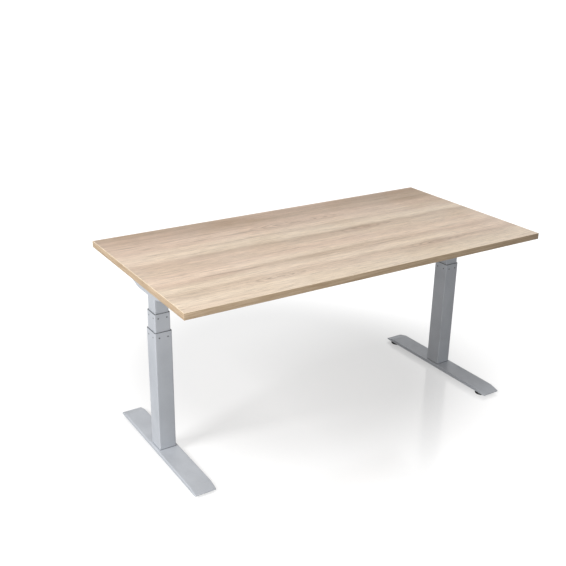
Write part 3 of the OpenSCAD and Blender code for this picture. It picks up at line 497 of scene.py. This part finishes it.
def makePiece(name, patches, look, node, crease=38):
    # joins closed patches into one mesh; a patch whose volume comes out negative is turned to face outwards
    points, faces, start = [], [], 0
    for place, polys in patches:
        flip = volumeOf(place, polys) < 0
        faces += [face for block in polys for face in ((block[:, ::-1] if flip else block) + start).tolist()]
        points.append(place)
        start += len(place)
    mesh = bpy.data.meshes.new(name)
    mesh.from_pydata(np.concatenate(points).tolist(), [], faces)
    mesh.materials.append(look)
    mesh.shade_smooth()
    mesh.set_sharp_from_angle(angle=radians(crease))
    piece = bpy.data.objects.new(name, mesh)
    scene.collection.objects.link(piece)
    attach(piece, bodyOf[node])
    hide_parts(node)
    return piece


def turned(profile, sides, place, axis=2, lobes=None):
    # surface of revolution: (r cos t, r sin t, h) for each (r, h) of the profile, its axis along X, Y or Z
    t = np.linspace(0, turn, sides, endpoint=False)
    profile = np.asarray(profile, float)
    r, h = profile[:, :1] + (0 if lobes is None else lobes(t, profile)), profile[:, 1:] + 0 * t
    rows = np.stack([r * np.cos(t), r * np.sin(t), h], -1)
    return loft(np.roll(rows, axis + 1, axis=2) + np.asarray(place))


def threadedRod(radius, depth, pitch, low, high, place, axis=2, starts=1, sides=24):
    # radius less depth times a flattened wave of (height / pitch - starts x turns), so that crests follow a
    # helix; towards each end the radius runs out at 45 degrees
    h = np.linspace(low, high, int((high - low) / pitch * 8) + 1)[:, None]
    t = np.linspace(0, turn, sides, endpoint=False)[None]
    wave = np.clip(1.5 * np.cos(turn * h / pitch - starts * t), -1, 1)
    r = radius - depth * (0.5 - 0.5 * wave)
    r = np.minimum(r, radius - depth + np.minimum(h - low, high - h))
    rows = np.stack([r * np.cos(t), r * np.sin(t), h + 0 * t], -1)
    return loft(np.roll(rows, axis + 1, axis=2) + np.asarray(place))


def roundedLoop(width, depth, radius, steps=4):
    # rectangle whose corners are arcs: corner middle plus radius times (cos t, sin t), a quarter turn each
    t = np.linspace(0, turn / 4, steps + 1) + np.arange(4)[:, None] * turn / 4
    signX, signY = np.array([1, -1, -1, 1])[:, None], np.array([1, 1, -1, -1])[:, None]
    x = signX * (width / 2 - radius) + radius * np.cos(t)
    y = signY * (depth / 2 - radius) + radius * np.sin(t)
    return np.stack([x, y], -1).reshape(-1, 2)


def softBlock(size, radius, fillet, place, axis=2, ribs=()):
    # rounded outline stacked along an axis; it draws in by fillet x (1 - sin t) over both ends, and a little
    # at each rib
    t = np.linspace(0, turn / 4, 4)
    end = size[2] / 2
    heights = np.concatenate([-end + fillet * (1 - np.cos(t)), end - fillet * (1 - np.cos(t[::-1]))])
    inset = np.concatenate([fillet * (1 - np.sin(t)), fillet * (1 - np.sin(t[::-1]))])
    for at, wide, deep in ribs:
        heights = np.concatenate([heights, at + np.array([-wide, -wide * 0.8, wide * 0.8, wide])])
        inset = np.concatenate([inset, [0, deep, deep, 0]])
    order = np.argsort(heights, kind="stable")
    loops = [roundedLoop(size[0] - 2 * q, size[1] - 2 * q, max(radius - q, 0.0003)) for q in inset[order]]
    flat = np.stack(loops)
    level = np.broadcast_to(heights[order][:, None, None], flat.shape[:2] + (1,))
    rows = np.concatenate([flat, level], -1)
    return loft(np.roll(rows, axis + 1, axis=2) + np.asarray(place))


def smoothPath(points, spacing):
    # Catmull-Rom curve through the points, resampled at even steps of its own length
    p = np.asarray(points, float)
    p = np.concatenate([[2 * p[0] - p[1]], p, [2 * p[-1] - p[-2]]])
    t = np.linspace(0, 1, 12, endpoint=False)[None, :, None]
    a, b, c, d = (p[k:len(p) - 3 + k, None] for k in range(4))
    squared, cubed = 2 * a - 5 * b + 4 * c - d, 3 * b - a - 3 * c + d
    curve = 0.5 * (2 * b + (c - a) * t + squared * t ** 2 + cubed * t ** 3)
    curve = np.concatenate([curve.reshape(-1, 3), p[-2:-1]])
    run = np.concatenate([[0], np.cumsum(np.linalg.norm(np.diff(curve, axis=0), axis=1))])
    even = np.linspace(0, run[-1], max(int(run[-1] / spacing), 3))
    return np.stack([np.interp(even, run, curve[:, k]) for k in range(3)], -1)


def sweptTube(path, radius, sides=14):
    # at each point of the path a circle square to its heading: radius times (cos t across + sin t upright)
    heading = np.gradient(path, axis=0)
    heading /= np.linalg.norm(heading, axis=1, keepdims=True)
    across = np.cross(heading, (0.03, 0.05, 1.0))
    across /= np.linalg.norm(across, axis=1, keepdims=True)
    upright = np.cross(across, heading)
    t = np.linspace(0, turn, sides, endpoint=False)[None, :, None]
    reach = np.broadcast_to(radius, len(path))[:, None, None]
    return loft(path[:, None] + reach * (np.cos(t) * across[:, None] + np.sin(t) * upright[:, None]))


banding = {"thick": 0.002, "arris": 0.0009, "end": 0.0006}


def bandStrip(length, high, spec):
    # strip cross-section with both outer arrises rounded, swept along its length and drawn in at each end;
    # gives (along, outwards, up)
    t = np.linspace(0, turn / 4, 5)
    arris, end = spec["arris"], spec["end"]
    thick = spec["thick"]
    outwards = np.concatenate([[0], thick - arris * (1 - np.sin(t)), thick - arris * (1 - np.cos(t)), [0]])
    up = np.concatenate([[0], arris * (1 - np.cos(t)), high - arris * (1 - np.sin(t)), [high]])
    u = np.linspace(0, turn / 4, 4)
    along = np.concatenate([end * (1 - np.cos(u)) - length / 2, np.linspace(-0.45, 0.45, 9) * length,
        length / 2 - end * (1 - np.cos(u[::-1]))])
    draw = np.concatenate([end * (1 - np.sin(u)), np.zeros(9), end * (1 - np.sin(u[::-1]))])
    out = np.maximum(outwards[None] - draw[:, None] * (outwards[None] > 0), 0)
    return np.stack(np.broadcast_arrays(along[:, None], out, up[None]), -1)


def addBanding():
    low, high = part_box("desktop")
    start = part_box("edge_strips")[0]
    long, short = -2 * start[0], high[1] - low[1]
    front = bandStrip(long, high[2] - low[2], banding)
    side = bandStrip(short, high[2] - low[2], banding)
    place = np.array([0, 0, low[2]])
    patches = []
    for sign in (-1, 1):
        across = np.stack([front[..., 0], sign * (high[1] + front[..., 1]), front[..., 2]], -1)
        along = np.stack([sign * (high[0] + side[..., 1]), side[..., 0], side[..., 2]], -1)
        patches += [loft(across + place), loft(along + place)]
    makePiece("edgeBanding", patches, finish["edge_strip"], "edge_strips", 50)


addBanding()
print("edge banding made")

# metres; nut: radius and height of the ring's outline round each levelling foot's welded nut
foot = {"slope": 0.042, "tip": 0.003, "wall": 0.003, "round": 0.0026, "bend": 0.0035, "corner": 0.0045,
    "lip": 0.0009, "nutX": 0.019, "nutY": 0.292, "nut": ((0.0041, 0.0135), (0.0062, 0.0135),
    (0.0070, 0.0143), (0.0070, 0.0220), (0.0041, 0.0220))}


def footSkin(half, reach, base, roof, grade, flat, corner, rounding, lip):
    # one skin of a pressed trough, as a grid: rows run front to back and columns up one side, over and down;
    # the roof falls along Y as grade times a hyperbola, the plan's corners and the lip at each tip are arcs
    t = np.linspace(0, turn / 4, 7)
    bow = np.sort(np.concatenate([reach - corner + corner * np.sin(t), reach - lip + lip * np.sin(t[1:-1])]))
    ys = np.unique(np.concatenate([np.linspace(0, flat - 0.03, 6), np.linspace(flat - 0.03, flat + 0.02, 16),
        np.linspace(flat + 0.02, reach - corner, 5), bow]).round(7))
    ys = np.concatenate([-ys[::-1], ys[1:]])
    far = np.abs(ys)
    wide = half - corner + np.sqrt(np.maximum(corner ** 2 - np.maximum(far - reach + corner, 0) ** 2, 0))
    fall = grade * ((far - flat) + np.sqrt((far - flat) ** 2 + foot["bend"] ** 2)) / 2
    drop = lip - np.sqrt(np.maximum(lip ** 2 - np.maximum(far - reach + lip, 0) ** 2, 0))
    top = np.maximum(roof - fall - drop, base + 0.0002)
    edge = np.minimum(rounding, 0.8 * (top - base))
    ys, wide, top, edge = (np.concatenate([q[:1], q, q[-1:]]) for q in (ys, wide, top, edge))
    top[[0, -1]], edge[[0, -1]] = base, 0
    a = np.linspace(0, turn / 4, 6)
    rise = np.linspace(0, 1, 3, endpoint=False)
    x = np.concatenate([-wide[:, None] + 0 * rise, -wide[:, None] + edge[:, None] * (1 - np.cos(a)),
        (wide - edge)[:, None] * np.linspace(-0.8, 0, 5)], 1)
    z = np.concatenate([base + rise * (top - edge - base)[:, None],
        (top - edge)[:, None] + edge[:, None] * np.sin(a), top[:, None] + np.zeros(5)], 1)
    x = np.concatenate([x, -x[:, -2::-1]], 1)
    z = np.concatenate([z, z[:, -2::-1]], 1)
    return np.stack([x, np.broadcast_to(ys[:, None], x.shape), z], -1)


def shell(outer, inner):
    # two grids with the same rows and columns, joined all round their rims
    rows, cols = outer.shape[:2]
    count = rows * cols
    number = np.arange(count).reshape(rows, cols)
    rim = np.concatenate([number[0], number[1:, -1], number[-1, -2::-1], number[-2:0:-1, 0]])
    after = np.roll(rim, -1)
    skin = gridFaces(rows, cols)
    faces = [skin, skin[:, ::-1] + count, np.stack([after, rim, rim + count, after + count], 1)]
    return np.concatenate([outer.reshape(-1, 3), inner.reshape(-1, 3)]), faces


def hexNut(outline):
    # the outline taken round six corners: (r cos t, r sin t, height), closed on itself through its bore
    outline = np.array(outline)
    t = np.linspace(0, turn, 6, endpoint=False)
    r, height = outline[:, :1], outline[:, 1:]
    points = np.stack(np.broadcast_arrays(r * np.cos(t), r * np.sin(t), height), -1)
    return points.reshape(-1, 3), [gridFaces(len(outline), 6, True, True)]


def addFeet(spec):
    for side, sign in sides.items():
        low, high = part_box("foot_" + side)
        centre = np.array([(low[0] + high[0]) / 2, (low[1] + high[1]) / 2, 0])
        half, reach = (high[0] - low[0]) / 2, (high[1] - low[1]) / 2
        wall, flat = spec["wall"], reach - spec["slope"]
        grade = (high[2] - low[2] - spec["tip"]) / spec["slope"]
        corner, rounding, lip = spec["corner"], spec["round"], spec["lip"]
        outer = footSkin(half, reach, low[2], high[2], grade, flat, corner, rounding, lip)
        inner = footSkin(half - wall, reach - wall, low[2], high[2] - wall, grade, flat, corner - wall,
            rounding / 2, lip / 3)
        points, faces = shell(outer, inner)
        patches = [(points + centre, faces)]
        nut, nutFaces = hexNut(spec["nut"])
        for y in (-spec["nutY"], spec["nutY"]):
            patches.append((nut + centre + (-sign * spec["nutX"], y, 0), nutFaces))
        node = "foot_" + side
        makePiece(camel(node) + "Pressed", patches, finish["frame_paint"], node, 30)


addFeet(foot)
print("feet made")

# profile: radius and height round the pad; stud: its thread's radius, cut, pitch and two ends; millimetres
pad = {"profile": ((22.6, 0), (23.7, 0.3), (24.2, 1.1), (24.2, 1.4), (25.0, 1.6), (25.0, 5.2), (24.6, 6.1),
    (23.6, 6.8), (22.0, 7.1), (12.0, 8.5), (9.2, 8.9), (8.2, 9.9), (4.6, 9.9)), "lobes": 18, "scallop": 1.0,
    "rim": (1.5, 6.5), "stud": (4.0, 0.55, 1.25, 9.3, 20.5)}


def addLevellers(spec):
    profile = np.array(spec["profile"]) / 1000

    def scallops(t, rows):
        # over the rim's heights the side sinks by the square of a raised cosine of lobes times the angle
        low, high = (v / 1000 for v in spec["rim"])
        side = ((rows[:, 1] > low) & (rows[:, 1] < high))[:, None]
        return side * -spec["scallop"] / 1000 * (0.5 - 0.5 * np.cos(spec["lobes"] * t)) ** 2

    for node in (n for n in nodes if n.startswith("leveller")):
        low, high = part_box(node)
        spot = ((low[0] + high[0]) / 2, (low[1] + high[1]) / 2, 0)
        disc = turned(profile, 144, spot, lobes=scallops)
        makePiece(camel(node) + "Pad", [disc], finish["pad_plastic"], node, 50)
        rod = threadedRod(*(v / 1000 for v in spec["stud"]), spot)
        makePiece(camel(node) + "Stud", [rod], finish["zinc_steel"], node, 60)


addLevellers(pad)
print("levelling feet made")

# radius and distance along the motor from the arm's inner face, in millimetres
motor = {"can": ((18.6, 0), (19.7, 0.5), (20, 1.4), (20, 11.4), (20.8, 12), (20.8, 15), (20, 15.6), (20, 22),
    (19.7, 22.4), (20, 22.8), (20, 54), (19.6, 54.8), (19.6, 56.4), (20, 57.2), (20, 59.4), (19.4, 60)),
    "cap": ((17, 59.6), (19, 60.2), (19, 66.2), (18.4, 67.4), (17.2, 68), (15.6, 68), (12.4, 68), (10, 68),
    (7.6, 68), (6.0, 68.2), (5.5, 69), (5.5, 72.6), (4.8, 73.4), (2.8, 73.5)),
    "slots": 6, "slotWide": 0.62, "slotFrom": 11.2, "slotTo": 16.5, "sink": 1.6}


def addMotors(spec):
    def slotted(points):
        # the cap's end face sinks inside six slots, where the cosine of six times the angle is high
        y, z = points[:, 1], points[:, 2]
        r, t = np.hypot(y, z) * 1000, np.arctan2(z, y)
        ring = (r > spec["slotFrom"]) & (r < spec["slotTo"])
        inside = (np.cos(spec["slots"] * t) > spec["slotWide"]) & ring
        return points + np.stack([inside * -spec["sink"] / 1000, 0 * r, 0 * r], 1)

    for side, sign in sides.items():
        low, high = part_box("motor_" + side)
        centre = np.array([low[0] if sign < 0 else high[0], (low[1] + high[1]) / 2, (low[2] + high[2]) / 2])
        flip = np.array([-sign, 1, 1])
        parts = {}
        for part in ("can", "cap"):
            points, faces = turned(np.array(spec[part]) / 1000, 144, (0, 0, 0), axis=0)
            points = slotted(points) if part == "cap" else points
            parts[part] = (points * flip + centre, faces)
        name = "motor_" + side
        makePiece(camel(name) + "Can", [parts["can"]], finish["zinc_steel"], name, 30)
        makePiece(camel(name) + "Cap", [parts["cap"]], finish["black_plastic"], name, 30)


addMotors(motor)
print("motors made")

# routes in millimetres from the motor's or the switch's outlet, and into the box: along, sideways, up;
# runs: first, last and step along X; ribs: place along the plug, half width, depth
lead = {"motorOut": ((0, 0, 0), (11, 0, 0.5), (23, -1, 3), (36, -3, 9), (48, -5.5, 16.5), (61, -8, 23),
    (75, -10, 26.3), (94, -12, 27)),
    "boxIn": ((80, 0), (67, -1), (55, -4.5), (45, -9.5), (36, -14), (27, -16.4), (16, -17)),
    "switchOut": ((0, 59, -2), (0, 70, -1), (0, 86, 0), (0, 114, 0), (0, 143, 0), (0, 173, 0),
    (-1, 203, 0), (-3, 233, 0), (-7, 258, 0), (-14, 278, 0), (-24, 294, 0), (-38, 305, 0), (-55, 310, 0)),
    "motorStart": (-589, 37), "motorY": 24, "switchY": -7, "motorRun": (-470, -229, 40),
    "switchRun": (520, 239, -40), "motorRadius": 2.4, "switchRadius": 1.9, "under": 4, "boxEnd": 125,
    "plugX": 129.5, "plug": (13, 9, 28), "plugRound": (2.0, 0.9), "bootAt": 12, "boot": (0.9, 0.7, 9),
    "ribs": ((-7.8, 0.8, 0.6), (-5.2, 0.8, 0.6), (-2.6, 0.8, 0.6))}


def leadParts(route, radius, end, spec):
    # the sheath, then a plug with grip ribs and its ringed boot; end is the side of the box, -1 or 1
    path = smoothPath(np.array(route), 3.5)
    sheath = sweptTube(path / 1000, radius / 1000)
    x, y, z = end * spec["plugX"], route[-1][1], route[-1][2]
    size, ribs = np.array(spec["plug"]) / 1000, np.array(spec["ribs"]) / 1000
    corner, fillet = (v / 1000 for v in spec["plugRound"])
    plug = softBlock(size, corner, fillet, np.array((x, y, z)) / 1000, axis=0, ribs=ribs)
    step, ring, count = spec["boot"]
    outline = np.array([(radius * 1.5 + ring * (k % 2), step * k) for k in range(count)]) / 1000
    points, faces = turned(outline, 20, (0, 0, 0), axis=0)
    shift = np.array((x + end * spec["bootAt"], y, z)) / 1000
    return [sheath, plug, (points * (end, 1, 1) + shift, faces)]


def leadRoute(outward, run, y, level, end, spec):
    # out of the motor or switch, straight along under the board, then down into the box's end
    route = list(outward)
    route += [np.array((x, y, level)) for x in range(*run)]
    route += [np.array((end * (spec["boxEnd"] + along), y, level + up)) for along, up in spec["boxIn"]]
    return route


def addLeads(spec):
    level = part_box("desktop")[0][2] * 1000 - spec["under"]
    centre = (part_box("motor_left")[0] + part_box("motor_left")[1]) * 500
    start = np.array((*spec["motorStart"], centre[2]))
    outward = start + np.array(spec["motorOut"])
    route = leadRoute(outward, spec["motorRun"], spec["motorY"], level, -1, spec)
    parts = leadParts(route, spec["motorRadius"], -1, spec)
    for side, sign in sides.items():
        node = "motor_lead_" + side
        own = [(points * (-sign, 1, 1), faces) for points, faces in parts]
        makePiece(camel(node) + "Moulded", own, finish[slotOf[node]], node, 40)
    node = "switch_lead"
    low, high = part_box("hand_switch")
    outlet = np.array(((low[0] + high[0]) * 500, low[1] * 1000, level))
    outward = outlet + np.array(spec["switchOut"])
    route = leadRoute(outward, spec["switchRun"], spec["switchY"], level, 1, spec)
    parts = leadParts(route, spec["switchRadius"], 1, spec)
    makePiece(camel(node) + "Moulded", parts, finish[slotOf[node]], node, 40)


addLeads(lead)
print("leads made")

# millimetres; solid: thread's radius, cut, pitch and foot; worm: radius, cut, pitch, half its length;
# collar: radius and height above the seat; key: its width, thickness, length and middle above the tip
screwThread = {"solid": (6.0, 1.1, 3.0, 319.0), "worm": (5.0, 1.6, 5.6, 16.8), "shaft": 3.0,
    "tip": (5.2, 6.0, 0.8), "seatDrop": 1.5, "collar": ((6.4, 0), (7.0, 0.5), (7.0, 2.7), (6.4, 3.2)),
    "neck": (5.0, 4.4, 3.0, 0.6), "key": (14, 3.8, 24, 12), "keyRound": (0.6, 0.5), "overlap": 1.0}


def addSpindles(spec):
    radius, cut, pitch, base = (v / 1000 for v in spec["solid"])
    wormRadius, wormCut, wormPitch, wormHalf = (v / 1000 for v in spec["worm"])
    shaft, overlap = spec["shaft"] / 1000, spec["overlap"] / 1000
    tip, wide, taper = (v / 1000 for v in spec["tip"])
    neck, neckEnd, neckFrom, neckTaper = (v / 1000 for v in spec["neck"])
    *key, keyUp = (v / 1000 for v in spec["key"])
    corner, fillet = (v / 1000 for v in spec["keyRound"])
    for side in sides:
        name = "solid_spindle_" + side
        low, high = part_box(name)
        x, y = (low[0] + high[0]) / 2, (low[1] + high[1]) / 2
        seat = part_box("gear_housing_" + side)[0][2] - spec["seatDrop"] / 1000
        collar = np.array(spec["collar"]) / 1000 + (0, seat)
        patches = [threadedRod(radius, cut, pitch, base - overlap, seat + overlap, (x, y, 0), starts=2),
            turned([(tip, low[2]), (wide, low[2] + taper), (wide, base)], 32, (x, y, 0)),
            turned(collar, 40, (x, y, 0)),
            turned([(neck, seat + neckFrom), (neck, high[2] - neckTaper), (neckEnd, high[2])], 32, (x, y, 0)),
            softBlock(key, corner, fillet, (x, y, low[2] + keyUp))]
        makePiece(camel(name) + "Threaded", patches, finish["zinc_steel"], name, 60)
        name = "worm_" + side
        low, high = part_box(name)
        y, z = (low[1] + high[1]) / 2, (low[2] + high[2]) / 2
        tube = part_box("outer_tube_" + side)
        spot = ((tube[0][0] + tube[1][0]) / 2, y, z)
        rod = [(shaft * 0.85, low[0]), (shaft, low[0] + 0.0005), (shaft, high[0] - 0.0005),
            (shaft * 0.85, high[0])]
        patches = [threadedRod(wormRadius, wormCut, wormPitch, -wormHalf, wormHalf, spot, 0, sides=40),
            turned(rod, 32, (0, y, z), axis=0)]
        makePiece(camel(name) + "Threaded", patches, finish["zinc_steel"], name, 60)


addSpindles(screwThread)
print("spindles and worms made")

# how far the edges of a copied part are rounded, in millimetres, by the start of its name
softening = {"side_arm": 0.9, "rail_ends": 0.8, "rail_sleeves": 0.7, "gear_housing": 1.6, "control_box": 1.2,
    "mains_inlet": 0.4, "hand_switch": 0.9, "button": 0.8, "lead_clips": 0.4, "outer_tube": 0.35,
    "middle_tube": 0.3, "inner_tube": 0.3, "rail_bolts": 0.3, "head_bolts": 0.3, "foot_bolts": 0.3,
    "arm_screws": 0.2, "rail_screws": 0.2, "box_screws": 0.15, "nut_carrier": 0.4, "nut_post": 0.4}


def addSoftened(node, width):
    # a copy of the part's mesh: loose triangles are joined, flat neighbours become one face, and its edges
    # are rounded
    mesh = nodes[node].data.copy()
    mesh.name = camel(node) + "Rounded"
    shape = bmesh.new()
    shape.from_mesh(mesh)
    bmesh.ops.remove_doubles(shape, verts=shape.verts, dist=0.000002)
    bmesh.ops.dissolve_limit(shape, angle_limit=radians(0.6), verts=shape.verts, edges=shape.edges)
    shape.to_mesh(mesh)
    shape.free()
    mesh.shade_smooth()
    mesh.set_sharp_from_angle(angle=radians(38))
    piece = bpy.data.objects.new(mesh.name, mesh)
    scene.collection.objects.link(piece)
    bevel = piece.modifiers.new("rounded", "BEVEL")
    bevel.width = width / 1000
    bevel.segments = 3
    bevel.limit_method = "ANGLE"
    bevel.angle_limit = radians(38)
    bevel.harden_normals = True
    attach(piece, bodyOf[node])
    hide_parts(node)


for node in list(nodes):
    for start, width in softening.items():
        if node.startswith(start):
            addSoftened(node, width)
print("edges rounded")


def addSetting(spec):
    # a flat pale sweep under a white room; what the lens sees of the floor is partly its own glow, so that
    # shadows stay soft and pale, and the room lights the object less than it shows
    half = spec["floorHalf"]
    mesh = bpy.data.meshes.new("studioFloor")
    corners = [(-half, -half, 0), (half, -half, 0), (half, half, 0), (-half, half, 0)]
    mesh.from_pydata(corners, [], [(0, 1, 2, 3)])
    floor = bpy.data.objects.new("studioFloor", mesh)
    scene.collection.objects.link(floor)
    material, tree, surface, place = newMaterial("paleFloor")
    tone = spec["floorTone"]
    surface.inputs["Base Color"].default_value = (tone, tone, tone, 1)
    surface.inputs["Roughness"].default_value = spec["floorRough"]
    surface.inputs["Specular IOR Level"].default_value = spec["floorShine"]
    surface.inputs["Emission Color"].default_value = (1, 1, 1, 1)
    axis = put(tree, "SeparateXYZ", {0: place}).outputs
    # painted light on the floor: its glow is weaker inside an ellipse under the desk and stronger beyond it,
    # so real shadows show grey inside it and are washed out outside it
    reach = [maths(tree, "DIVIDE", maths(tree, "SUBTRACT", axis[k], spec["patchAt"][k]), spec["patchSize"][k])
        for k in (0, 1)]
    away = maths(tree, "SQRT", maths(tree, "ADD", *(maths(tree, "MULTIPLY", q, q) for q in reach)))
    glow = spread(tree, away, *spec["patchEdge"], spec["glowNear"], spec["glowFar"])
    seen = put(tree, "LightPath").outputs["Is Camera Ray"]
    tree.links.new(maths(tree, "MULTIPLY", seen, glow), surface.inputs["Emission Strength"])
    # from below the floor isn't there
    behind = put(tree, "NewGeometry").outputs["Backfacing"]
    tree.links.new(maths(tree, "SUBTRACT", 1.0, behind), surface.inputs["Alpha"])
    mesh.materials.append(material)
    scene.world = bpy.data.worlds.new("paleRoom")
    scene.world.use_nodes = True
    room = scene.world.node_tree
    path = put(room, "LightPath").outputs
    seen = maths(room, "MAXIMUM", path["Is Camera Ray"], path["Is Glossy Ray"])
    room.nodes["Background"].inputs["Color"].default_value = (1, 1, 1, 1)
    shine = spread(room, seen, 0, 1, spec["sky"], 1.0, False)
    room.links.new(shine, room.nodes["Background"].inputs["Strength"])


addSetting(studio)
print("floor and room made")
